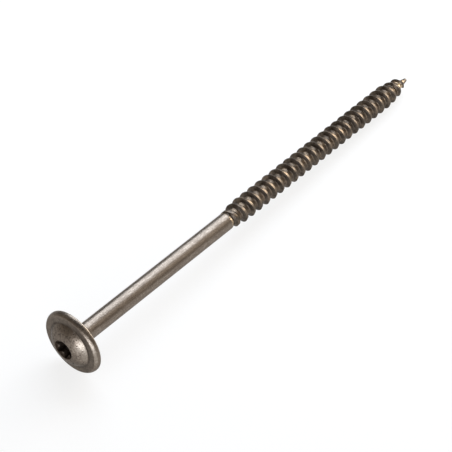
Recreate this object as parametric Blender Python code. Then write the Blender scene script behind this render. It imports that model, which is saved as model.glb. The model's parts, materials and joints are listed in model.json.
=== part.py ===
"""Construction screw with a washer head, a plain shank and a wood thread.

One piece of steel. It is modelled along its own axis, +X from the head to the
point, with x = 0 at the face under the washer. It is then laid down as it
comes to rest: on the rim of the washer and on the thread next to the point.
"""

import math

import bmesh
import bpy
from mathutils import Matrix, Vector

# Whole screw, in metres
LENGTH = 0.160
SHANK_DIAMETER = 0.0056
UNDERHEAD_FILLET = 0.0003

# Washer, whose face rises a little towards the dome
WASHER_DIAMETER = 0.0205
WASHER_FACE_DIAMETER = 0.0190
WASHER_HEIGHT = 0.0020
WASHER_SIDE_BULGE = 0.00025
WASHER_CHAMFER = 0.00015
WASHER_FACE_RISE = 0.0001

# Dome on the washer, open at its top to the recess
DOME_DIAMETER = 0.0145
DOME_BULGE = 0.0005
HEAD_HEIGHT = 0.00475

# Six-lobe recess with a countersunk mouth
RECESS_DIAMETER = 0.0064
RECESS_WAIST = 0.0046
RECESS_LOBE_RADIUS = 0.0005
RECESS_DEPTH = 0.0035
RECESS_LOBES = 6
RECESS_TURN = math.radians(20)
MOUTH_CLEARANCE = 0.00005
MOUTH_DEPTH = 0.0008

# Thread, right-hand, single start
THREAD_LENGTH = 0.0943
THREAD_DIAMETER = 0.00765
THREAD_CORE_DIAMETER = 0.0049
PITCH = 0.00354
CREST_WIDTH = 0.0003
FLANK_ANGLE = math.radians(30)
RUN_IN_LENGTH = 0.0075
NECK_LENGTH = 0.0010
CREST_PHASE = 0.19

# Point: the core narrows first, and the crests follow it in two slopes
CORE_TAPER_LENGTH = 0.0099
CREST_TAPER_LENGTH = 0.0125
CREST_SHOULDER_LENGTH = 0.0050
CREST_SHOULDER_RADIUS = 0.0027
BARE_POINT_LENGTH = 0.0022
NOSE_LENGTH = 0.00045
NOSE_BULGE = 0.0001
TIP_RADIUS = 0.0005

# Facets
SIDES = 32
ARC_STEPS = 4
FILLET_STEPS = 2
LOBE_STEPS = 3
MERGE_DISTANCE = 0.00001

# Bright stainless steel with a warm, satin surface
STEEL_COLOUR = (0.42, 0.37, 0.33, 1.0)
STEEL_ROUGHNESS = 0.32
STEEL_METALLIC = 1.0

THREAD_START = LENGTH - THREAD_LENGTH
THREAD_END = LENGTH - BARE_POINT_LENGTH
SHANK_RADIUS = SHANK_DIAMETER / 2
CORE_RADIUS = THREAD_CORE_DIAMETER / 2
CREST_RADIUS = THREAD_DIAMETER / 2


def clear_scene():
    """Start from an empty scene."""
    for obj in list(bpy.data.objects):
        bpy.data.objects.remove(obj, do_unlink=True)


def arc(start, end, bulge, steps):
    """Points of a circular arc from start to end, both ends included.

    The bulge is the height of the arc over its chord, to the left of the way
    from start to end.
    """
    start, end = Vector(start), Vector(end)
    chord = end - start
    left = Vector((-chord.y, chord.x)).normalized()
    radius = (chord.length_squared / 4 + bulge ** 2) / (2 * bulge)
    centre = (start + end) / 2 + left * (bulge - radius)
    half_angle = math.asin(chord.length / 2 / radius)
    spokes = [half_angle * (1 - 2 * step / steps) for step in range(steps + 1)]
    along = chord.normalized()
    return [
        tuple(centre + (left * math.cos(spoke) - along * math.sin(spoke)) * radius)
        for spoke in spokes
    ]


def head_profile():
    """(x, radius) from the bottom of the mouth to the end of the shank.

    The mouth's bottom is narrower than the recess, which cuts it all away.
    """
    mouth_bottom = MOUTH_DEPTH - HEAD_HEIGHT
    mouth_edge = (-HEAD_HEIGHT, RECESS_DIAMETER / 2 + MOUTH_CLEARANCE)
    foot = (-WASHER_HEIGHT - WASHER_FACE_RISE, DOME_DIAMETER / 2)
    front_edge = (-WASHER_HEIGHT, WASHER_FACE_DIAMETER / 2)
    rim = (-WASHER_CHAMFER, WASHER_DIAMETER / 2)
    bearing_edge = (0.0, WASHER_DIAMETER / 2 - WASHER_CHAMFER)
    fillet = [
        (
            UNDERHEAD_FILLET * (1 - math.cos(math.pi / 2 * step / FILLET_STEPS)),
            SHANK_RADIUS + UNDERHEAD_FILLET * (1 - math.sin(math.pi / 2 * step / FILLET_STEPS)),
        )
        for step in range(FILLET_STEPS + 1)
    ]
    profile = [(mouth_bottom, 0.0), (mouth_bottom, RECESS_WAIST / 2 - MOUTH_CLEARANCE)]
    profile += arc(mouth_edge, foot, DOME_BULGE, ARC_STEPS)
    profile += arc(front_edge, rim, WASHER_SIDE_BULGE, ARC_STEPS)
    profile += [bearing_edge]
    profile += fillet
    profile += [(THREAD_START, SHANK_RADIUS)]
    return profile


def core_radius(x):
    """Radius at the bottom of the thread, from the neck to the nose."""
    neck = min(1.0, (x - THREAD_START) / NECK_LENGTH)
    taper = min(1.0, (LENGTH - x) / CORE_TAPER_LENGTH)
    necked = SHANK_RADIUS + (CORE_RADIUS - SHANK_RADIUS) * neck
    return TIP_RADIUS + (necked - TIP_RADIUS) * taper


def crest_radius(x):
    """Radius over the crests: it grows out of the shank and falls at the point."""
    run_in = min(1.0, (x - THREAD_START) / RUN_IN_LENGTH)
    radius = SHANK_RADIUS + (CREST_RADIUS - SHANK_RADIUS) * math.sin(math.pi / 2 * run_in)
    to_tip = LENGTH - x
    if to_tip < CREST_SHOULDER_LENGTH:
        slope = (to_tip - BARE_POINT_LENGTH) / (CREST_SHOULDER_LENGTH - BARE_POINT_LENGTH)
        bare_radius = core_radius(THREAD_END)
        radius = bare_radius + (CREST_SHOULDER_RADIUS - bare_radius) * slope
    elif to_tip < CREST_TAPER_LENGTH:
        slope = (to_tip - CREST_SHOULDER_LENGTH) / (CREST_TAPER_LENGTH - CREST_SHOULDER_LENGTH)
        radius = CREST_SHOULDER_RADIUS + (CREST_RADIUS - CREST_SHOULDER_RADIUS) * slope
    return radius


def tooth_profile():
    """(x, radius) of one pitch of the full thread, crest first."""
    flank_width = (CREST_RADIUS - CORE_RADIUS) * math.tan(FLANK_ANGLE)
    return [
        (0.0, CREST_RADIUS),
        (CREST_WIDTH, CREST_RADIUS),
        (CREST_WIDTH + flank_width, CORE_RADIUS),
        (PITCH - flank_width, CORE_RADIUS),
        (PITCH, CREST_RADIUS),
    ]


def nose_profile():
    """(x, radius) of the bare point, from the end of the thread to the tip."""
    nose_start = LENGTH - NOSE_LENGTH
    nose = arc((nose_start, core_radius(nose_start)), (LENGTH, 0.0), NOSE_BULGE, ARC_STEPS)
    return [(THREAD_END, core_radius(THREAD_END))] + nose


def add_profile(bm, profile, turn):
    """Add a chain of edges in the half plane at this angle about the X axis."""
    verts = [
        bm.verts.new((x, radius * math.cos(turn), radius * math.sin(turn)))
        for x, radius in profile
    ]
    edges = [bm.edges.new(pair) for pair in zip(verts, verts[1:])]
    return verts + edges


def turn_profile(bm, profile):
    """Turn a profile about the X axis. The sides straddle the lowest line."""
    bmesh.ops.spin(
        bm,
        geom=add_profile(bm, profile, math.pi / SIDES),
        cent=(0, 0, 0),
        axis=(1, 0, 0),
        angle=2 * math.pi,
        steps=SIDES,
        use_merge=True,
    )


def roll_thread(bm):
    """Sweep one pitch along the helix, then fit it to the core and crest radii.

    The sweep starts before the thread and ends after it. What lies outside is
    drawn in to the first or last ring, where it meets the shank and the nose.
    """
    start = THREAD_START - PITCH * (2 - CREST_PHASE)
    tooth = [(start + x, radius) for x, radius in tooth_profile()]
    steps = math.ceil((THREAD_END - start) / PITCH * SIDES)
    known = set(bm.verts)
    bmesh.ops.spin(
        bm,
        geom=add_profile(bm, tooth, math.pi / SIDES),
        cent=(0, 0, 0),
        axis=(1, 0, 0),
        dvec=(PITCH / SIDES, 0, 0),
        angle=2 * math.pi * steps / SIDES,
        steps=steps,
        use_merge=False,
    )
    for vert in bm.verts:
        if vert in known:
            continue
        x = min(max(vert.co.x, THREAD_START), THREAD_END)
        old_radius = math.hypot(vert.co.y, vert.co.z)
        height = (old_radius - CORE_RADIUS) / (CREST_RADIUS - CORE_RADIUS)
        radius = core_radius(x) + (crest_radius(x) - core_radius(x)) * height
        vert.co.x = x
        vert.co.y *= radius / old_radius
        vert.co.z *= radius / old_radius


def lobe_outline():
    """(y, z) points around the six-lobe recess.

    Round lobes and round hollows between them meet in common tangents, which
    settles the hollows' radius.
    """
    lobe_centre = RECESS_DIAMETER / 2 - RECESS_LOBE_RADIUS
    waist = RECESS_WAIST / 2
    half_step = math.pi / RECESS_LOBES
    reach = lobe_centre * math.cos(half_step)
    hollow_radius = (
        lobe_centre ** 2 + waist ** 2 - 2 * waist * reach - RECESS_LOBE_RADIUS ** 2
    ) / (2 * (RECESS_LOBE_RADIUS + reach - waist))
    hollow_centre = waist + hollow_radius
    tangent = Vector((lobe_centre, 0)).lerp(
        Vector((math.cos(half_step), math.sin(half_step))) * hollow_centre,
        RECESS_LOBE_RADIUS / (RECESS_LOBE_RADIUS + hollow_radius),
    )
    lobe_sweep = math.atan2(tangent.y, tangent.x - lobe_centre)
    hollow_sweep = lobe_sweep - half_step
    outline = []
    for lobe in range(RECESS_LOBES):
        middle = RECESS_TURN + 2 * half_step * lobe
        for step in range(LOBE_STEPS + 1):
            angle = lobe_sweep * (2 * step / LOBE_STEPS - 1)
            point = Vector((lobe_centre + RECESS_LOBE_RADIUS * math.cos(angle), 0))
            point.y = RECESS_LOBE_RADIUS * math.sin(angle)
            outline.append(Matrix.Rotation(middle, 2) @ point)
        for step in range(1, LOBE_STEPS):
            angle = hollow_sweep * (1 - 2 * step / LOBE_STEPS)
            point = Vector((hollow_centre - hollow_radius * math.cos(angle), 0))
            point.y = -hollow_radius * math.sin(angle)
            outline.append(Matrix.Rotation(middle + half_step, 2) @ point)
    return outline


def make_recess_cutter():
    """Six-lobe prism that is cut into the head. It isn't part of the screw."""
    floor = RECESS_DEPTH - HEAD_HEIGHT
    mouth = -HEAD_HEIGHT - RECESS_DEPTH
    bm = bmesh.new()
    verts = [bm.verts.new((floor, point.x, point.y)) for point in lobe_outline()]
    face = bm.faces.new(verts)
    extruded = bmesh.ops.extrude_face_region(bm, geom=[face])
    moved = [item for item in extruded["geom"] if isinstance(item, bmesh.types.BMVert)]
    bmesh.ops.translate(bm, verts=moved, vec=(mouth - floor, 0, 0))
    bmesh.ops.recalc_face_normals(bm, faces=bm.faces)
    mesh = bpy.data.meshes.new("recess_cutter")
    bm.to_mesh(mesh)
    bm.free()
    cutter = bpy.data.objects.new("recess_cutter", mesh)
    bpy.context.collection.objects.link(cutter)
    cutter.hide_render = True
    cutter.display_type = "WIRE"
    return cutter


def make_steel():
    """Principled material for the bare stainless steel."""
    steel = bpy.data.materials.new("stainless_steel")
    steel.use_nodes = True
    shader = steel.node_tree.nodes["Principled BSDF"]
    shader.inputs["Base Color"].default_value = STEEL_COLOUR
    shader.inputs["Roughness"].default_value = STEEL_ROUGHNESS
    shader.inputs["Metallic"].default_value = STEEL_METALLIC
    return steel


def make_screw(cutter):
    """The screw's closed body, with the recess cut into its head."""
    bm = bmesh.new()
    turn_profile(bm, head_profile())
    turn_profile(bm, nose_profile())
    roll_thread(bm)
    bmesh.ops.remove_doubles(bm, verts=bm.verts, dist=MERGE_DISTANCE)
    bmesh.ops.recalc_face_normals(bm, faces=bm.faces)
    mesh = bpy.data.meshes.new("screw")
    bm.to_mesh(mesh)
    bm.free()
    mesh.shade_smooth()
    mesh.set_sharp_from_angle(angle=math.radians(30))
    mesh.materials.append(make_steel())
    screw = bpy.data.objects.new("screw", mesh)
    bpy.context.collection.objects.link(screw)
    recess = screw.modifiers.new("recess", "BOOLEAN")
    recess.operation = "DIFFERENCE"
    recess.solver = "EXACT"
    recess.object = cutter
    return screw


def rest_tilt(points):
    """Angle that brings the thread down to the floor that the washer stands on."""
    rim = min((point for point in points if point.x < THREAD_START), key=lambda point: point.z)
    slopes = [
        (point.z - rim.z) / (point.x - rim.x) for point in points if point.x > THREAD_START
    ]
    return math.atan(min(slopes))


def lay_down(screw, cutter):
    """Rest the screw on the floor, with its box centred over the origin."""
    points = [vert.co.copy() for vert in screw.data.vertices]
    turn = Matrix.Rotation(rest_tilt(points), 4, "Y")
    placed = [turn @ point for point in points]
    low = Vector([min(point[axis] for point in placed) for axis in range(3)])
    high = Vector([max(point[axis] for point in placed) for axis in range(3)])
    move = Matrix.Translation((-(low.x + high.x) / 2, -(low.y + high.y) / 2, -low.z))
    for obj in (screw, cutter):
        obj.matrix_world = move @ turn


def main():
    clear_scene()
    cutter = make_recess_cutter()
    screw = make_screw(cutter)
    lay_down(screw, cutter)


if __name__ == "__main__":
    main()
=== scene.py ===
"""Looks of a stainless construction screw that lies on a pale floor in soft light.

The screw is modelled along its own axis, +X from the head to the point, with
x = 0 at the face under the washer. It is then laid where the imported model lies,
which the record's mount on the recess floor gives: that point is on the axis.
"""

import json
import math

import bmesh
import bpy
from bpy.props import FloatProperty, FloatVectorProperty, IntProperty, PointerProperty
from mathutils import Matrix, Vector


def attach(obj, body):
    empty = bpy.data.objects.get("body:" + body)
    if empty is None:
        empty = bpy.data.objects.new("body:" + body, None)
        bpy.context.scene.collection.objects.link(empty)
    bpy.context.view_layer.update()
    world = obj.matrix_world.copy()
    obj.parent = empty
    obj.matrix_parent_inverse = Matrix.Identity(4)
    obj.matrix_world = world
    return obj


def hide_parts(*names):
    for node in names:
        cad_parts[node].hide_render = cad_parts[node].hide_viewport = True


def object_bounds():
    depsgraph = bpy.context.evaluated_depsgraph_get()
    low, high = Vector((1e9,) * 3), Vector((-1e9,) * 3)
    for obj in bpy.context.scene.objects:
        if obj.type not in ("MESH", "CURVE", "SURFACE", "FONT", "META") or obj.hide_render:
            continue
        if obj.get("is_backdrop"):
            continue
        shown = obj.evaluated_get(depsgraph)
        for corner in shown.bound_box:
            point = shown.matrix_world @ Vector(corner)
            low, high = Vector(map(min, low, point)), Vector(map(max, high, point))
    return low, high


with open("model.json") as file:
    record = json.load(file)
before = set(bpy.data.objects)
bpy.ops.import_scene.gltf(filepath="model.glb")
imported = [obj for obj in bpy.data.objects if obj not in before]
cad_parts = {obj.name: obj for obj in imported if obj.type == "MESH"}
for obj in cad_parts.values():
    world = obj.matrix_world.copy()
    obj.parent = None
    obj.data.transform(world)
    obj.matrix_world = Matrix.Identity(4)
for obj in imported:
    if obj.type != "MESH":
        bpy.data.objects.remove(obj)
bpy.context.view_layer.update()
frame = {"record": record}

bl_info = {
    "name": "Construction Screw",
    "version": (1, 0, 0),
    "blender": (4, 5, 0),
    "location": "3D View > Sidebar > Construction Screw",
    "description": "Models a washer-head construction screw and its studio",
    "category": "Object",
}

MOUNTS = {mount["name"]: mount for mount in frame["record"]["mounts"]}

# Sides of a turned form, and steps over a rounded corner
SIDES = 132
CORNER_STEPS = 4

# Longest edges of the mesh along a path, in metres
SPACING = 0.0003
FINE_SPACING = SPACING / 3
RIM_SPACING = SPACING / 2
UNDERSIDE_SPACING = SPACING * 2
SHANK_SPACING = SPACING * 40

# Roundings in metres, in the order of the corners: the recess floor's rim, the foot and the mouth of
# the countersink, the dome's foot, and the washer's front edge, side and rear edge
HEAD_ROUNDINGS = (0.00005, 0.00005, 0.00016, 0.0002, 0.00025, 0.00012, 0.0001)
SHANK_END_ROUNDING = 0.0001

# The crest's front edge, the feet of the front and rear flanks, and the crest's rear edge
TOOTH_ROUNDINGS = (0.00012, 0.00035, 0.00030, 0.00005)

# The nose's start, and where the lobes cut the countersink
NOSE_ROUNDING = 0.0001
WALL_ROUNDING = 0.00008

# Height of the nose's arc over its chord, in metres
NOSE_BULGE = 0.00012

# Vertices closer than this are one, in metres, and edges sharper than this stay sharp
MERGE_DISTANCE = 0.000004
SHARP_ANGLE = math.radians(50)

# Widths over which the painted shade and highlights change, in metres
RIDGE_HIGHLIGHT_WIDTH = 0.00012
MOUTH_HIGHLIGHT_WIDTH = 0.0004
CREASE_WIDTH_ON_DOME = 0.0002
CREASE_WIDTH_ON_RING = 0.0006
SIDE_HIGHLIGHT_START = 0.0006
SIDE_HIGHLIGHT_WIDTH = 0.0004
TIP_SHADING_WIDTH = 0.0035

# Share of the thread's depth over which its bottom is made brighter
VALLEY_DEPTH = 0.2

# Powers that hold the painted highlights to the lit side, to the dome's foot and to the bottom of the last
# turns
HIGHLIGHT_POWER = 5
SHOULDER_HIGHLIGHT_POWER = 4
CORE_POWER = 3

# Scales of the steel's noises, in cells per metre
PATCH_SCALE = 350.0
PIT_SCALE = 1400.0
SPECKLE_SCALE = 2800.0
STREAK_SCALE = 4000.0
FINE_SCALE = 9000.0

# Share of its scale that the streaks' noise keeps along the axis, which draws the streaks out
SHARE_ALONG = 0.06

# Width over which one part's finish turns into the next, in metres
FINISH_BLEND = 0.0002

# The floor in metres, and the camera's sensor in millimetres
FLOOR_RADIUS = 6.0
FLOOR_SIDES = 64
SENSOR_WIDTH = 36


def metres(name, description, default):
    """A length property."""
    return FloatProperty(
        name=name, description=description, default=default, min=0, unit="LENGTH", precision=5
    )


def degrees(name, description, default):
    """An angle property, with its default in degrees."""
    return FloatProperty(
        name=name, description=description, default=math.radians(default), unit="ROTATION"
    )


def share(name, description, default):
    """A number from 0 to 1."""
    return FloatProperty(name=name, description=description, default=default, min=0, max=1)


def brightness(name, description, default):
    """The brightness of a lamp, as a mirror shows it. At 1 it looks white."""
    return FloatProperty(name=name, description=description, default=default, min=0)


def colour(name, description, default):
    """A linear colour."""
    return FloatVectorProperty(
        name=name, description=description, default=default, size=3, min=0, max=1, subtype="COLOR"
    )


class HeadSizes(bpy.types.PropertyGroup):
    """Sizes of the washer, the dome and the recess."""

    washer_diameter: metres("Washer diameter", "Across the washer", 0.0205)
    face_diameter: metres("Face diameter", "Across the flat ring on the washer's front", 0.0190)
    washer_height: metres("Washer height", "From the bearing face to the washer's front edge", 0.0020)
    side_length: metres("Side length", "Of the rear part of the washer's side", 0.00036)
    side_bulge: metres("Side bulge", "Height of the round part of the side over its chord", 0.00024)
    rear_drop: metres("Rear drop", "Of the washer's side towards its rear edge", 0.00013)
    rear_bulge: metres("Rear bulge", "Height of the rear part of the side over its chord", 0.00003)
    face_rise: metres("Face rise", "Of the washer's face towards the dome", 0.0001)
    dome_diameter: metres("Dome diameter", "Across the foot of the dome", 0.0147)
    dome_bulge: metres("Dome bulge", "Height of the dome's arc over its chord", 0.0005)
    head_height: metres("Head height", "From the bearing face to the mouth of the recess", 0.00475)
    mouth_diameter: metres("Mouth diameter", "Across the countersunk mouth of the recess", 0.0065)
    mouth_depth: metres("Mouth depth", "Of the countersink", 0.0008)
    recess_diameter: metres("Recess diameter", "Across two opposite lobes", 0.0064)
    recess_waist: metres("Recess waist", "Across two opposite hollows", 0.0046)
    lobe_radius: metres("Lobe radius", "Of each round lobe", 0.0005)
    recess_depth: metres("Recess depth", "From the mouth to the floor", 0.0035)
    recess_turn: degrees("Recess turn", "Of the first lobe from the side, about the axis", 20)
    lobes: IntProperty(name="Lobes", description="Lobes of the recess", default=6, min=3)


class BodySizes(bpy.types.PropertyGroup):
    """Sizes of the shank, the thread and the point."""

    length: metres("Length", "From the bearing face to the tip", 0.160)
    shank_diameter: metres("Shank diameter", "Of the plain shank", 0.0056)
    fillet: metres("Fillet", "Under the head", 0.0003)
    thread_length: metres("Thread length", "From the shank to the tip", 0.0943)
    thread_diameter: metres("Thread diameter", "Over the crests", 0.00765)
    core_diameter: metres("Core diameter", "At the bottom of the thread", 0.0049)
    pitch: metres("Pitch", "Of the single-start thread", 0.00354)
    crest_width: metres("Crest width", "Along the axis", 0.00105)
    crest_lean: degrees("Crest lean", "Fall of the crest towards the point", 19)
    rear_flank: degrees("Rear flank", "Flank that faces the head, from square to the axis", 18)
    front_flank: degrees("Front flank", "Flank that faces the point, from square to the axis", 30)
    crest_phase: share("Crest phase", "Share of a pitch from the shank to the first crest", 0.2303)
    run_in: metres("Run-in", "Stretch over which the thread grows out of the shank", 0.0075)
    neck: metres("Neck", "Stretch over which the shank narrows to the core", 0.0010)
    core_taper: metres("Core taper", "Stretch over which the core narrows to the tip", 0.0099)
    crest_taper: metres("Crest taper", "Stretch from the first lower crest to the tip", 0.0125)
    shoulder_length: metres("Shoulder length", "From the crests' shoulder to the tip", 0.0050)
    shoulder_radius: metres("Shoulder radius", "Crest radius at the shoulder", 0.0027)
    bare_point: metres("Bare point", "Stretch without thread at the tip", 0.0022)
    nose: metres("Nose", "Rounded stretch at the tip", 0.00045)
    tip_radius: metres("Tip radius", "Of the blunt tip", 0.0005)


class WearAndShadingLook(bpy.types.PropertyGroup):
    """How bright the steel is set, from 0 in filmed hollows and painted shade to 1 on rubbed edges and
    painted highlights.
    """

    plain: share("Plain", "Shank and bearing face", 0.5)
    # Painted shade: the recess is set close to black
    recess: share("Recess", "Walls and floor of the recess", 0.05)
    # Painted highlights on the ridges between the lobes
    ridge_highlights: share("Ridges", "Added between the lobes, under the countersink", 0.5)
    # The ring is darker partly as film and partly as painted shade
    ring: share("Ring", "Flat ring on the washer's front", 0.33)
    # Painted shade in the crease at the dome's foot, deeper on the lit side
    crease: share("Crease", "Foot of the dome", 0.16)
    crease_shade: share("Crease film", "Taken off the crease on the handled side", 0.06)
    dome: share("Dome", "Dome, away from the handled side", 0.42)
    # Painted highlights on the dome's lit side, stronger towards its foot
    dome_highlight: share("Handled dome", "Added on the handled side", 0.05)
    shoulder_highlight: share("Dome shoulder", "Added on the handled side, towards the foot", 0.32)
    side: share("Side", "Round part of the washer's side", 0.44)
    # Painted highlight on the washer's side next to the ring, on the lit side
    side_highlight: share("Handled side", "Added next to the ring on the handled side", 0.22)
    rear_side: share("Rear side", "Rear part of the washer's side", 0.55)
    # Painted highlight along the washer's rear edge
    rear_edge_highlight: share("Rear edge", "Half of the rear part that ends at the rear edge", 0.95)
    # Middle of the side that carries the painted highlights
    highlight_turn: degrees("Handled turn", "Middle of the handled side, about the axis", 157)
    # The neck is partly chipped steel and partly a painted highlight
    neck: share("Neck", "Where the shank narrows to the core", 0.95)
    thread: share("Thread", "Flanks of the thread", 0.195)
    valleys: share("Valleys", "Added at the bottom of the thread", 0.22)
    # The crests are partly rubbed and partly painted with a highlight
    crests: share("Crests", "Added on the crests", 0.12)
    # Painted highlight at the bottom of the last turns, and painted shade over them
    tip_core_highlight: share("Tip core", "Added at the bottom of the last turns", 0.9)
    tip_shade: share("Tip film", "Taken off the last turns", 0.12)
    nose: share("Nose", "Bare point", 0.2)


class SteelLook(bpy.types.PropertyGroup):
    """Colours and surface of the steel, from filmed hollows and painted shade to rubbed edges and painted
    highlights.
    """

    # Black of the painted shade in the recess, and the dark end of the steel's colours
    shade_black: colour("Soot", "Black film at the bottom of the recess", (0.045, 0.032, 0.023))
    film: colour("Film", "Brown film in hollows", (0.100, 0.083, 0.068))
    steel: colour("Steel", "Plain steel", (0.200, 0.164, 0.133))
    rolled: colour("Rolled steel", "Plain parts of the thread", (0.205, 0.155, 0.112))
    # The rubbed and straw colours also give the painted highlights
    rubbed: colour("Rubbed steel", "Edges that have been rubbed bright", (0.58, 0.52, 0.45))
    straw: colour("Straw", "Rubbed parts of the thread", (0.62, 0.47, 0.31))
    edge_tint: colour("Edge tint", "Of reflections at a grazing angle", (0.60, 0.60, 0.60))
    roughness: share("Roughness", "Of the plain steel", 0.36)
    recess_roughness: share("Recess roughness", "Added inside the recess", 0.35)
    grain_size: metres("Grain size", "Of the forged surface", 0.0006)
    grain_height: metres("Grain height", "Of the forged surface", 0.00007)


class StageLook(bpy.types.PropertyGroup):
    """Floor, lights and camera."""

    floor: colour("Floor", "Colour of the floor", (0.95, 0.95, 0.95))
    floor_glow: share("Floor glow", "Share of the floor that shows as even white", 0.8)
    walls: colour("Walls", "Colour of the room at eye level", (0.43, 0.385, 0.33))
    ceiling: colour("Ceiling", "Colour of the room overhead", (0.10, 0.095, 0.09))
    far_wall: colour("Far wall", "Colour of the room behind the object", (0.15, 0.15, 0.155))
    back_light: brightness("Back light", "Softbox behind and above the object", 5.3)
    front_light: brightness("Front light", "Low panel at the head's end", 5.7)
    side_light: brightness("Side light", "Warm lamp beside the object", 9.0)
    fill_light: brightness("Fill light", "Wide fill from above", 0.5)
    view_azimuth: degrees("View azimuth", "Of the line of sight, from +X towards +Y", 40.4348)
    view_elevation: degrees("View elevation", "Of the camera over the floor", 45.667)
    view_distance: metres("View distance", "From the camera to the point that it looks at", 0.48554)
    view_point: FloatVectorProperty(
        name="View point", description="Where the line of sight meets the floor",
        default=(-0.00786, 0.00339, 0.0), size=3, unit="LENGTH", precision=5,
    )
    lens: FloatProperty(name="Lens", description="Focal length on a 36 mm sensor", default=124.153, min=1)


def stretch(start, end, spacing, bulge=0.0):
    """Points from start to end, both included, on a line or on an arc.

    The bulge is the height of the arc over its chord, to the left of the way.
    """
    start, end = Vector(start), Vector(end)
    chord = end - start
    steps = max(1, math.ceil(chord.length / spacing))
    if not bulge:
        return [start.lerp(end, step / steps) for step in range(steps + 1)]
    along = chord.normalized()
    left = Vector((-along.y, along.x))
    radius = (chord.length_squared / 4 + bulge ** 2) / (2 * bulge)
    centre = (start + end) / 2 + left * (bulge - radius)
    half = math.asin(chord.length / 2 / radius)
    spokes = [half * (1 - 2 * step / steps) for step in range(steps + 1)]
    return [centre + (left * math.cos(spoke) - along * math.sin(spoke)) * radius for spoke in spokes]


def shortened(points, reach):
    """The path without its last stretch of this length."""
    points = list(points)
    step = (points[-1] - points[-2]).length
    while step <= reach:
        reach -= step
        points.pop()
        step = (points[-1] - points[-2]).length
    points[-1] = points[-1].lerp(points[-2], reach / step)
    return points


def joined(stretches, roundings):
    """One path of stretches that meet in corners, each rounded over this length on both sides."""
    path = stretches[0]
    for following, rounding in zip(stretches[1:], roundings):
        corner = following[0]
        path = shortened(path, rounding)
        following = shortened(following[::-1], rounding)[::-1]
        start, end = path[-1], following[0]
        for step in range(1, CORNER_STEPS):
            way = step / CORNER_STEPS
            path.append(start.lerp(corner, way).lerp(corner.lerp(end, way), way))
        path += following
    return path


def head_path(head, body):
    """(x, radius) from the middle of the recess floor to the end of the shank.

    The last, short stretch keeps the wear of the thread off the shank's long faces.
    """
    floor = head.recess_depth - head.head_height
    mouth_bottom = head.mouth_depth - head.head_height
    waist = head.recess_waist / 2
    mouth = (-head.head_height, head.mouth_diameter / 2)
    foot = (-head.washer_height - head.face_rise, head.dome_diameter / 2)
    front = (-head.washer_height, head.face_diameter / 2)
    shoulder = (-head.side_length, head.washer_diameter / 2)
    rim = (0, head.washer_diameter / 2 - head.rear_drop)
    shank = body.shank_diameter / 2
    end = body.length - body.thread_length
    stretches = [
        stretch((floor, 0), (floor, waist), SPACING),
        stretch((floor, waist), (mouth_bottom, waist), SPACING),
        stretch((mouth_bottom, waist), mouth, FINE_SPACING),
        stretch(mouth, foot, SPACING, head.dome_bulge),
        stretch(foot, front, SPACING),
        stretch(front, shoulder, RIM_SPACING, head.side_bulge),
        stretch(shoulder, rim, RIM_SPACING, head.rear_bulge),
        stretch(rim, (0, shank), UNDERSIDE_SPACING),
        stretch((0, shank), (end - SPACING, shank), SHANK_SPACING),
        stretch((end - SPACING, shank), (end, shank), SPACING),
    ]
    return joined(stretches, (*HEAD_ROUNDINGS, body.fillet, SHANK_END_ROUNDING))


def lobe_radius(head, turn):
    """Radius of the recess's outline at this angle about the axis.

    Round lobes and round hollows between them meet in common tangents.
    """
    half_step = math.pi / head.lobes
    lobe_centre = head.recess_diameter / 2 - head.lobe_radius
    waist = head.recess_waist / 2
    reach = lobe_centre * math.cos(half_step)
    hollow = (lobe_centre ** 2 + waist ** 2 - 2 * waist * reach - head.lobe_radius ** 2) / (
        2 * (head.lobe_radius + reach - waist)
    )
    hollow_centre = waist + hollow
    tangent = Vector((lobe_centre, 0)).lerp(
        Vector((math.cos(half_step), math.sin(half_step))) * hollow_centre,
        head.lobe_radius / (head.lobe_radius + hollow),
    )
    off_lobe = abs((turn - head.recess_turn + half_step) % (2 * half_step) - half_step)
    if off_lobe < math.atan2(tangent.y, tangent.x):
        sine = lobe_centre * math.sin(off_lobe)
        return lobe_centre * math.cos(off_lobe) + math.sqrt(head.lobe_radius ** 2 - sine ** 2)
    off_hollow = half_step - off_lobe
    sine = hollow_centre * math.sin(off_hollow)
    return hollow_centre * math.cos(off_hollow) - math.sqrt(max(0.0, hollow ** 2 - sine ** 2))


def core_radius(body, x):
    """Radius at the bottom of the thread, from the neck to the nose."""
    shank, core = body.shank_diameter / 2, body.core_diameter / 2
    neck = min(1.0, (x - body.length + body.thread_length) / body.neck)
    taper = min(1.0, (body.length - x) / body.core_taper)
    necked = shank + (core - shank) * neck
    return body.tip_radius + (necked - body.tip_radius) * taper


def crest_radius(body, x):
    """Radius over the crests: it grows out of the shank and falls at the point."""
    shank, crest = body.shank_diameter / 2, body.thread_diameter / 2
    run_in = min(1.0, (x - body.length + body.thread_length) / body.run_in)
    to_tip = body.length - x
    if to_tip < body.shoulder_length:
        bare = core_radius(body, body.length - body.bare_point)
        slope = (to_tip - body.bare_point) / (body.shoulder_length - body.bare_point)
        return bare + (body.shoulder_radius - bare) * slope
    if to_tip < body.crest_taper:
        slope = (to_tip - body.shoulder_length) / (body.crest_taper - body.shoulder_length)
        return body.shoulder_radius + (crest - body.shoulder_radius) * slope
    return shank + (crest - shank) * math.sin(math.pi / 2 * run_in)


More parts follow.
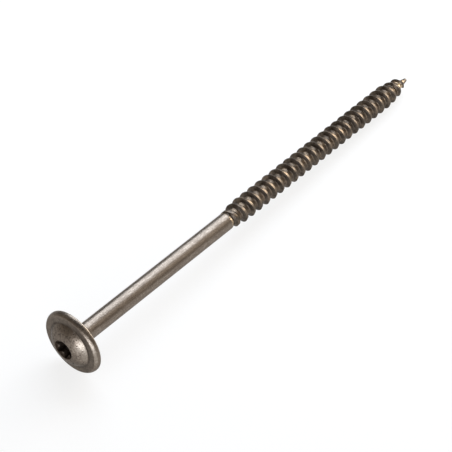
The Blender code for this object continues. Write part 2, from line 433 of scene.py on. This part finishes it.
def tooth_path(body):
    """(x, height) of one pitch of the thread, from mid-crest to mid-crest.

    The height is measured from the core.
    """
    depth = (body.thread_diameter - body.core_diameter) / 2
    half_crest = body.crest_width / 2
    middle = depth - half_crest * math.tan(body.crest_lean)
    front_edge = middle - half_crest * math.tan(body.crest_lean)
    front_foot = half_crest + front_edge * math.tan(body.front_flank)
    rear_foot = half_crest + depth * math.tan(body.rear_flank)
    corners = [
        (0, middle), (half_crest, front_edge), (front_foot, 0),
        (body.pitch - rear_foot, 0), (body.pitch - half_crest, depth), (body.pitch, middle),
    ]
    stretches = [stretch(*pair, body.pitch) for pair in zip(corners, corners[1:])]
    return joined(stretches, TOOTH_ROUNDINGS)


def nose_path(body):
    """(x, radius) of the bare point, from the end of the thread to the tip."""
    thread_end, shoulder = body.length - body.bare_point, body.length - body.nose
    start, corner = [(x, core_radius(body, x)) for x in (thread_end, shoulder)]
    stretches = [
        stretch(start, corner, SPACING),
        stretch(corner, (body.length, 0), FINE_SPACING, NOSE_BULGE),
    ]
    return joined(stretches, (NOSE_ROUNDING,))


def add_path(bm, path):
    """Add a chain of edges on the side of the axis that faces +Y."""
    verts = [bm.verts.new((point.x, point.y, 0)) for point in path]
    return verts + [bm.edges.new(pair) for pair in zip(verts, verts[1:])]


def turn_path(bm, path):
    """Turn a path about the X axis."""
    bmesh.ops.spin(
        bm, geom=add_path(bm, path), cent=(0, 0, 0), axis=(1, 0, 0),
        angle=2 * math.pi, steps=SIDES, use_merge=True,
    )


def set_radius(vert, radius):
    """Move a vertex straight away from the axis, or towards it."""
    old = math.hypot(vert.co.y, vert.co.z)
    if old:
        vert.co.y *= radius / old
        vert.co.z *= radius / old


def press_recess(bm, head):
    """Press the lobes into the turned recess and its countersink."""
    floor = head.recess_depth - head.head_height
    waist = head.recess_waist / 2
    for vert in bm.verts:
        radius = math.hypot(vert.co.y, vert.co.z)
        if vert.co.x > floor + MERGE_DISTANCE or radius > head.mouth_diameter / 2:
            continue
        lobe = lobe_radius(head, math.atan2(vert.co.z, vert.co.y))
        if abs(vert.co.x - floor) < MERGE_DISTANCE and radius < waist:
            set_radius(vert, radius * lobe / waist)
        else:
            past = radius - lobe
            set_radius(vert, lobe + (past + math.hypot(past, WALL_ROUNDING)) / 2)


def fade(distance, width):
    """1 at no distance, falling evenly to 0 at this width."""
    return max(0.0, 1 - distance / width)


def recess_shade_and_highlights(head, look, depth, turn):
    """How bright the recess is set: dark as painted shade, with painted highlights on the ridge between each
    two lobes where it meets the mouth.
    """
    ridge = fade(lobe_radius(head, turn) - head.recess_waist / 2, RIDGE_HIGHLIGHT_WIDTH)
    return look.recess + look.ridge_highlights * ridge * fade(abs(depth - head.mouth_depth), MOUTH_HIGHLIGHT_WIDTH)


def front_wear_and_shading(head, look, radius, lit):
    """How bright the dome and the flat ring are set: the ring partly filmed and partly darkened as painted
    shade, a crease of painted shade between them, and painted highlights on the dome's lit side.
    """
    foot = head.dome_diameter / 2
    level, width = look.ring, CREASE_WIDTH_ON_RING
    if radius < foot:
        # Painted highlight on the lit side, stronger towards the dome's foot
        shoulder = look.shoulder_highlight * (radius / foot) ** SHOULDER_HIGHLIGHT_POWER
        level, width = look.dome + lit * (look.dome_highlight + shoulder), CREASE_WIDTH_ON_DOME
    # Painted shade in the crease, deeper on the lit side
    bottom = look.crease - look.crease_shade * lit
    return level + (bottom - level) * fade(abs(radius - foot), width)


def side_wear_and_highlight(head, look, x, lit):
    """How bright the round part of the washer's side is set, with a painted highlight next to the ring on
    the lit side.
    """
    near_ring = (-head.side_length - SIDE_HIGHLIGHT_START - x) / SIDE_HIGHLIGHT_WIDTH
    return look.side + look.side_highlight * lit * min(1.0, max(0.0, near_ring))


def mark_head_wear_and_shading(bm, head, look, wear_and_shading):
    """Set how bright the head and the shank are, with their film, rubbing, painted shade and painted
    highlights, before the lobes are pressed.
    """
    floor = head.recess_depth - head.head_height
    front, mouth = head.face_diameter / 2, head.mouth_diameter / 2
    for vert in bm.verts:
        x, radius = vert.co.x, math.hypot(vert.co.y, vert.co.z)
        depth, turn = x + head.head_height, math.atan2(vert.co.z, vert.co.y)
        # How far round the vertex is towards the side of the painted highlights
        lit = max(0.0, math.cos(turn - look.highlight_turn)) ** HIGHLIGHT_POWER
        if x < floor + MERGE_DISTANCE and depth > 0 and radius < mouth - MERGE_DISTANCE:
            vert[wear_and_shading] = recess_shade_and_highlights(head, look, depth, turn)
        elif x < -head.washer_height + MERGE_DISTANCE:
            vert[wear_and_shading] = front_wear_and_shading(head, look, radius, lit)
        elif x < -head.side_length:
            vert[wear_and_shading] = side_wear_and_highlight(head, look, x, lit)
        elif x < 0 and radius > front:
            # Painted highlight along the rear edge
            vert[wear_and_shading] = look.rear_edge_highlight if x > -head.side_length / 2 else look.rear_side
        else:
            vert[wear_and_shading] = look.plain


def thread_wear_and_shading(body, look, x, height, crest):
    """How bright the thread is set at this x and share of its depth, with crest 1 on the crest.

    The neck is bright over its first quarter, which fades out at its middle: chipped steel
    with a painted highlight. The crests are partly rubbed and partly painted with a highlight;
    the bottom of the last turns carries a painted highlight, and the last turns painted shade.
    """
    from_shank = x - body.length + body.thread_length
    valley = fade(height, VALLEY_DEPTH) * min(1.0, from_shank / body.pitch)
    tip = fade(abs(body.length - x - body.shoulder_length), TIP_SHADING_WIDTH)
    # The crests are partly rubbed and partly painted with a highlight
    level = look.thread + look.valleys * valley + look.crests * (1 - tip) * crest
    # Painted highlight at the bottom of the last turns, and painted shade over them
    level += tip * (look.tip_core_highlight * (1 - height) ** CORE_POWER - look.tip_shade)
    # The neck: chipped steel and a painted highlight
    neck = min(look.neck, 4 * fade(from_shank, body.neck) - 2)
    return max(level, neck * (1 - height))


def roll_thread(bm, body, look, wear_and_shading):
    """Sweep one pitch once around, repeat it, and fit it to the core and crest radii.

    The turns start before the thread and end after it. What lies outside is
    drawn in to the first or last ring, where it meets the shank and the nose.
    The sweep and its copies carry the wear of the path, which marks the crest.
    """
    first = body.length - body.thread_length
    last = body.length - body.bare_point
    start = first - body.pitch * (2 - body.crest_phase)
    core, depth = body.core_diameter / 2, (body.thread_diameter - body.core_diameter) / 2
    path = [Vector((start + point.x, core + point.y)) for point in tooth_path(body)]
    known_verts, known = set(bm.verts), set(bm.verts) | set(bm.edges) | set(bm.faces)
    chain = add_path(bm, path)
    for vert in chain[:len(path)]:
        off_crest = abs((vert.co.x - start + body.pitch / 2) % body.pitch - body.pitch / 2)
        vert[wear_and_shading] = 1.0 if off_crest < body.crest_width / 2 else 0.0
    bmesh.ops.spin(
        bm, geom=chain, cent=(0, 0, 0), axis=(1, 0, 0),
        dvec=(body.pitch / SIDES, 0, 0), angle=2 * math.pi, steps=SIDES, use_merge=False,
    )
    turn = [part for part in (*bm.verts, *bm.edges, *bm.faces) if part not in known]
    for repeat in range(1, math.ceil((last - start) / body.pitch)):
        copied = bmesh.ops.duplicate(bm, geom=turn)["geom"]
        verts = [part for part in copied if isinstance(part, bmesh.types.BMVert)]
        bmesh.ops.translate(bm, verts=verts, vec=(body.pitch * repeat, 0, 0))
    for vert in bm.verts:
        if vert in known_verts:
            continue
        vert.co.x = min(max(vert.co.x, first), last)
        height = (math.hypot(vert.co.y, vert.co.z) - core) / depth
        low, high = core_radius(body, vert.co.x), crest_radius(body, vert.co.x)
        set_radius(vert, low + (high - low) * height)
        vert[wear_and_shading] = thread_wear_and_shading(body, look, vert.co.x, height, vert[wear_and_shading])


def lying_place(head):
    """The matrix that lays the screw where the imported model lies."""
    mount = MOUNTS["recess_floor"]
    along = -Vector(mount["axis"]).normalized()
    across = Vector((0, 0, 1)).cross(along).normalized()
    turn = Matrix((along, across, along.cross(across))).transposed().to_4x4()
    start = Vector(mount["pos_m"]) + along * (head.head_height - head.recess_depth)
    return Matrix.Translation(start) @ turn


class AddSteelScrew(bpy.types.Operator):
    """Model the screw as one closed body of steel"""

    bl_idname = "construction_screw.add_screw"
    bl_label = "Add screw"

    def execute(self, context):
        settings = context.scene.construction_screw
        head, body, look = settings.head, settings.body, settings.wear_and_shading
        bm = bmesh.new()
        wear_and_shading = bm.verts.layers.float.new("wear_and_shading")
        turn_path(bm, head_path(head, body))
        mark_head_wear_and_shading(bm, head, look, wear_and_shading)
        press_recess(bm, head)
        known = set(bm.verts)
        turn_path(bm, nose_path(body))
        for vert in set(bm.verts) - known:
            vert[wear_and_shading] = look.nose
        roll_thread(bm, body, look, wear_and_shading)
        bmesh.ops.remove_doubles(bm, verts=bm.verts, dist=MERGE_DISTANCE)
        bmesh.ops.recalc_face_normals(bm, faces=bm.faces)
        bmesh.ops.transform(bm, matrix=lying_place(head), verts=bm.verts)
        mesh = bpy.data.meshes.new("steel_screw")
        bm.to_mesh(mesh)
        bm.free()
        mesh.shade_smooth()
        mesh.set_sharp_from_angle(angle=SHARP_ANGLE)
        mesh.materials.append(make_steel(settings.steel, lying_place(head), head, body))
        screw = bpy.data.objects.new("steel_screw", mesh)
        context.scene.collection.objects.link(screw)
        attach(screw, "root")
        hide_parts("screw")
        return {"FINISHED"}


def node(tree, kind, inputs=None, **settings):
    """Add a node with these settings, and set or link its inputs."""
    made = tree.nodes.new(kind)
    for name, value in settings.items():
        setattr(made, name, value)
    for name, value in (inputs or {}).items():
        if isinstance(value, bpy.types.NodeSocket):
            tree.links.new(value, made.inputs[name])
        else:
            made.inputs[name].default_value = value
    return made


def math_node(tree, operation, first, second=0.0, clamp=False):
    """The output of a Math node."""
    made = node(tree, "ShaderNodeMath", {0: first, 1: second}, operation=operation, use_clamp=clamp)
    return made.outputs[0]


def noise(tree, vector, scale, detail=2.0, roughness=0.6):
    """The value of a noise texture, about 0.5."""
    inputs = {"Vector": vector, "Scale": scale, "Detail": detail, "Roughness": roughness}
    return node(tree, "ShaderNodeTexNoise", inputs).outputs[0]


def mix_colour(tree, factor, low, high):
    """The output of a colour Mix node."""
    return node(tree, "ShaderNodeMix", {0: factor, 6: low, 7: high}, data_type="RGBA").outputs[2]


def span(tree, value, low, high):
    """0 below low, 1 above high, and a smooth rise between them."""
    made = node(
        tree, "ShaderNodeMapRange",
        {"Value": value, "From Min": low, "From Max": high}, interpolation_type="SMOOTHSTEP",
    )
    return made.outputs[0]


def colour_ramp(tree, value, stops):
    """The colour at this value, blended between (position, colour) stops."""
    made = node(tree, "ShaderNodeValToRGB", {"Fac": value})
    elements = made.color_ramp.elements
    for position, _ in stops[2:]:
        elements.new(position)
    for element, (position, tone) in zip(elements, stops):
        element.position = position
        element.color = (*tone, 1.0)
    return made.outputs[0]


def weighted(tree, *terms):
    """The sum of (socket, factor) terms and of plain numbers."""
    total = sum(term for term in terms if isinstance(term, (int, float)))
    for term in terms:
        if not isinstance(term, (int, float)):
            made = node(tree, "ShaderNodeMath", {0: term[0], 1: term[1], 2: total}, operation="MULTIPLY_ADD")
            total = made.outputs[0]
    return total


def masked(tree, value, mask):
    """The value where the mask is 1, and 0 where it is 0."""
    return math_node(tree, "MULTIPLY", value, mask)


def swing(tree, value, mask):
    """How far a noise is from its middle, where the mask is 1."""
    return masked(tree, math_node(tree, "SUBTRACT", value, 0.5), mask)


def part_masks(tree, own_axes, head, body):
    """Masks that are 1 on the thread, the shank, the head, the dome and inside the recess."""
    along = node(tree, "ShaderNodeSeparateXYZ", {"Vector": own_axes}).outputs[0]
    thread_start = body.length - body.thread_length
    threaded = span(tree, along, thread_start - FINISH_BLEND, thread_start)
    height = math_node(tree, "MULTIPLY", along, -1.0)
    on_head = span(tree, height, 0.0, FINISH_BLEND)
    dome_start = head.washer_height + FINISH_BLEND
    on_dome = span(tree, height, dome_start, dome_start + 2 * FINISH_BLEND)
    shank = math_node(tree, "SUBTRACT", math_node(tree, "SUBTRACT", 1.0, threaded), on_head, clamp=True)

    spoke = node(tree, "ShaderNodeVectorMath", {0: own_axes, 1: (0, 1, 1)}, operation="MULTIPLY").outputs[0]
    radius = node(tree, "ShaderNodeVectorMath", {0: spoke}, operation="LENGTH").outputs["Value"]
    mouth = head.mouth_diameter / 2
    around = span(tree, radius, mouth - FINISH_BLEND, mouth)
    recessed = math_node(tree, "SUBTRACT", on_head, around, clamp=True)
    return threaded, shank, on_head, on_dome, recessed


def make_steel(look, place, head, body):
    """Bare stainless steel, forged at the head and rolled at the thread.

    The noises swing about 0.5, so that on average they leave the wear and the
    roughness as they are given.
    """
    steel = bpy.data.materials.new("stainless_steel")
    steel.use_nodes = True
    tree = steel.node_tree
    shader = tree.nodes["Principled BSDF"]
    shader.inputs["Metallic"].default_value = 1.0
    shader.inputs["Specular Tint"].default_value = (*look.edge_tint, 1.0)
    coordinates = node(tree, "ShaderNodeTexCoord")
    back = place.inverted()
    own_axes = node(
        tree, "ShaderNodeMapping",
        {"Vector": coordinates.outputs["Object"], "Location": back.translation, "Rotation": back.to_euler()},
    ).outputs[0]
    drawn_out = node(
        tree, "ShaderNodeMapping", {"Vector": own_axes, "Scale": (SHARE_ALONG, 1.0, 1.0)}
    ).outputs[0]
    wear_and_shading = node(tree, "ShaderNodeAttribute", attribute_name="wear_and_shading").outputs["Fac"]
    threaded, shank, on_head, on_dome, recessed = part_masks(tree, own_axes, head, body)

    patches = noise(tree, own_axes, PATCH_SCALE, detail=3.0)
    grain = noise(tree, own_axes, 1 / look.grain_size, detail=3.0)
    speckle = noise(tree, own_axes, SPECKLE_SCALE)
    fine = noise(tree, own_axes, FINE_SCALE)
    streaks = noise(tree, drawn_out, STREAK_SCALE, roughness=0.5)
    dots = noise(tree, own_axes, PIT_SCALE, detail=1.0, roughness=0.5)
    pits = span(tree, dots, low=0.56, high=0.64)

    # How far each noise shifts the wear, first everywhere and then on one part
    rubbed = weighted(
        tree, (wear_and_shading, 1.0), (patches, 0.35), (grain, 0.50), (streaks, 0.15), -0.50,
        (swing(tree, patches, threaded), 0.6),
        (swing(tree, patches, shank), -0.25),
        (swing(tree, grain, shank), -0.25),
        (swing(tree, speckle, shank), 0.45),
        (swing(tree, streaks, shank), 0.25),
        (masked(tree, pits, on_dome), -0.24),
    )

    # Where the film and the plain steel stand on the way from black at 0, which is the painted shade of the
    # recess, to rubbed steel at 1, which also paints the highlights
    filmed, plain = 0.22, 0.5
    hollows = ((0.0, look.shade_black), (filmed, look.film))
    turned = colour_ramp(tree, rubbed, (*hollows, (plain, look.steel), (1.0, look.rubbed)))
    rolled = colour_ramp(tree, rubbed, (*hollows, (plain, look.rolled), (1.0, look.straw)))
    tree.links.new(mix_colour(tree, threaded, turned, rolled), shader.inputs["Base Color"])

    # How much smoother rubbing makes the steel, and how far the fine noise changes that
    polish, mottle = 0.16, 0.08
    rough = weighted(
        tree, (rubbed, -polish), (fine, mottle), (recessed, look.recess_roughness),
        look.roughness + (polish - mottle) / 2,
    )
    tree.links.new(rough, shader.inputs["Roughness"])

    # Each noise's share of the grain's height
    height = weighted(
        tree,
        (masked(tree, grain, on_head), 1.0),
        (masked(tree, pits, on_dome), -0.6),
        (masked(tree, streaks, shank), 0.03),
        (masked(tree, speckle, shank), 0.10),
        (masked(tree, grain, threaded), 0.6),
        (fine, 0.015),
    )
    bump = node(tree, "ShaderNodeBump", {"Height": height, "Strength": 1.0, "Distance": look.grain_height})
    tree.links.new(bump.outputs[0], shader.inputs["Normal"])
    return steel


def direction(azimuth, elevation):
    """Unit vector at this azimuth, from +X towards +Y, and elevation."""
    level = math.cos(elevation)
    return Vector((level * math.cos(azimuth), level * math.sin(azimuth), math.sin(elevation)))


def add_softbox(context, name, shown, tint, azimuth, elevation, distance, width, height):
    """An area light that faces the object, with its angles in degrees and its shown brightness."""
    light = bpy.data.lights.new(name, "AREA")
    light.shape = "RECTANGLE"
    light.size, light.size_y = width, height
    light.energy = shown * math.pi * width * height
    light.color = tint
    lamp = bpy.data.objects.new(name, light)
    towards = direction(math.radians(azimuth), math.radians(elevation))
    lamp.location = towards * distance
    lamp.rotation_euler = towards.to_track_quat("Z", "Y").to_euler()
    lamp.visible_camera = False
    context.scene.collection.objects.link(lamp)


def make_paper(look):
    """Pale floor that shows white to the camera and in reflections, with the screw's shadow."""
    paper = bpy.data.materials.new("paper_floor")
    paper.use_nodes = True
    tree = paper.node_tree
    tree.nodes.clear()
    diffuse = node(tree, "ShaderNodeBsdfDiffuse", {"Color": (*look.floor, 1.0)})
    glow = node(tree, "ShaderNodeEmission", {"Color": (1, 1, 1, 1), "Strength": 1.0})
    path = node(tree, "ShaderNodeLightPath")
    seen = math_node(tree, "MAXIMUM", path.outputs["Is Camera Ray"], path.outputs["Is Glossy Ray"])
    seen = math_node(tree, "MAXIMUM", seen, path.outputs["Is Transmission Ray"])
    even = math_node(tree, "MULTIPLY", seen, look.floor_glow)
    mix = node(tree, "ShaderNodeMixShader", {0: even, 1: diffuse.outputs[0], 2: glow.outputs[0]})
    output = node(tree, "ShaderNodeOutputMaterial")
    tree.links.new(mix.outputs[0], output.inputs["Surface"])
    return paper


def add_floor(context, look):
    """A round floor under the lowest point of the screw."""
    bm = bmesh.new()
    bmesh.ops.create_circle(bm, cap_ends=True, radius=FLOOR_RADIUS, segments=FLOOR_SIDES)
    bmesh.ops.translate(bm, verts=bm.verts, vec=(0, 0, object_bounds()[0].z))
    mesh = bpy.data.meshes.new("floor")
    bm.to_mesh(mesh)
    bm.free()
    mesh.materials.append(make_paper(look))
    floor = bpy.data.objects.new("floor", mesh)
    context.scene.collection.objects.link(floor)
    floor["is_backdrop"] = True


def make_room(look):
    """A dim room: warm walls, a darker ceiling, and a grey wall behind the object.

    The walls get a little darker with height, and the grey wall stands towards +X +Y.
    """
    room = bpy.data.worlds.new("room")
    room.use_nodes = True
    tree = room.node_tree
    sight = node(tree, "ShaderNodeTexCoord").outputs["Generated"]
    x, y, z = node(tree, "ShaderNodeSeparateXYZ", {"Vector": sight}).outputs
    upper_walls = [part * 0.8 for part in look.walls]
    warm = colour_ramp(tree, z, ((0.0, look.walls), (0.70, upper_walls), (0.95, look.ceiling)))
    onward = weighted(tree, (x, 0.7), (y, 0.7))
    behind = span(tree, onward, low=0.3, high=0.8)
    around = mix_colour(tree, behind, warm, (*look.far_wall, 1.0))
    tree.links.new(around, tree.nodes["Background"].inputs["Color"])
    return room


def add_lamps(context, look):
    """The softbox, the panel, the lamp and the fill around the object."""
    add_softbox(
        context, "back_softbox", look.back_light, (0.80, 0.885, 1.0),
        azimuth=33, elevation=50, distance=0.45, width=0.47, height=0.33,
    )
    add_softbox(
        context, "front_panel", look.front_light, (0.87, 0.92, 1.0),
        azimuth=-145, elevation=9, distance=0.9, width=0.85, height=0.40,
    )
    add_softbox(
        context, "side_lamp", look.side_light, (1.0, 0.94, 0.84),
        azimuth=-10, elevation=15, distance=0.9, width=0.54, height=0.42,
    )
    add_softbox(
        context, "wide_fill", look.fill_light, (1.0, 0.93, 0.86),
        azimuth=-30, elevation=46, distance=0.9, width=0.80, height=0.60,
    )


def add_camera(context, look):
    """The camera, on the line of sight through the view point."""
    camera = bpy.data.cameras.new("camera")
    camera.lens = look.lens
    camera.sensor_width = SENSOR_WIDTH
    camera.clip_start = 0.01
    viewer = bpy.data.objects.new("camera", camera)
    sight = direction(look.view_azimuth, -look.view_elevation)
    viewer.location = Vector(look.view_point) - sight * look.view_distance
    viewer.rotation_euler = sight.to_track_quat("-Z", "Y").to_euler()
    context.scene.collection.objects.link(viewer)
    context.scene.camera = viewer


class AddStudio(bpy.types.Operator):
    """Add the floor, the room, the lights and the camera"""

    bl_idname = "construction_screw.add_studio"
    bl_label = "Add studio"

    def execute(self, context):
        look = context.scene.construction_screw.stage
        add_floor(context, look)
        context.scene.world = make_room(look)
        add_lamps(context, look)
        add_camera(context, look)
        context.scene.view_settings.view_transform = "Standard"
        return {"FINISHED"}


class ConstructionScrewSettings(bpy.types.PropertyGroup):
    """All the sizes and looks."""

    head: PointerProperty(type=HeadSizes)
    body: PointerProperty(type=BodySizes)
    wear_and_shading: PointerProperty(type=WearAndShadingLook)
    steel: PointerProperty(type=SteelLook)
    stage: PointerProperty(type=StageLook)


class ConstructionScrewPanel(bpy.types.Panel):
    """Sizes, looks and the steps that make the screw"""

    bl_idname = "VIEW3D_PT_construction_screw"
    bl_label = "Construction Screw"
    bl_space_type = "VIEW_3D"
    bl_region_type = "UI"
    bl_category = "Construction Screw"

    def draw(self, context):
        settings = context.scene.construction_screw
        for group in (settings.head, settings.body, settings.wear_and_shading, settings.steel, settings.stage):
            box = self.layout.box()
            for name in type(group).__annotations__:
                box.prop(group, name)
        for operator in OPERATORS:
            self.layout.operator(operator.bl_idname)


OPERATORS = (AddSteelScrew, AddStudio)
CLASSES = (
    HeadSizes, BodySizes, WearAndShadingLook, SteelLook, StageLook, ConstructionScrewSettings,
    *OPERATORS, ConstructionScrewPanel,
)


def register():
    for cls in CLASSES:
        bpy.utils.register_class(cls)
    bpy.types.Scene.construction_screw = PointerProperty(type=ConstructionScrewSettings)


def unregister():
    del bpy.types.Scene.construction_screw
    for cls in reversed(CLASSES):
        bpy.utils.unregister_class(cls)


def main():
    register()
    bpy.ops.construction_screw.add_screw()
    bpy.ops.construction_screw.add_studio()


if __name__ == "__main__":
    main()
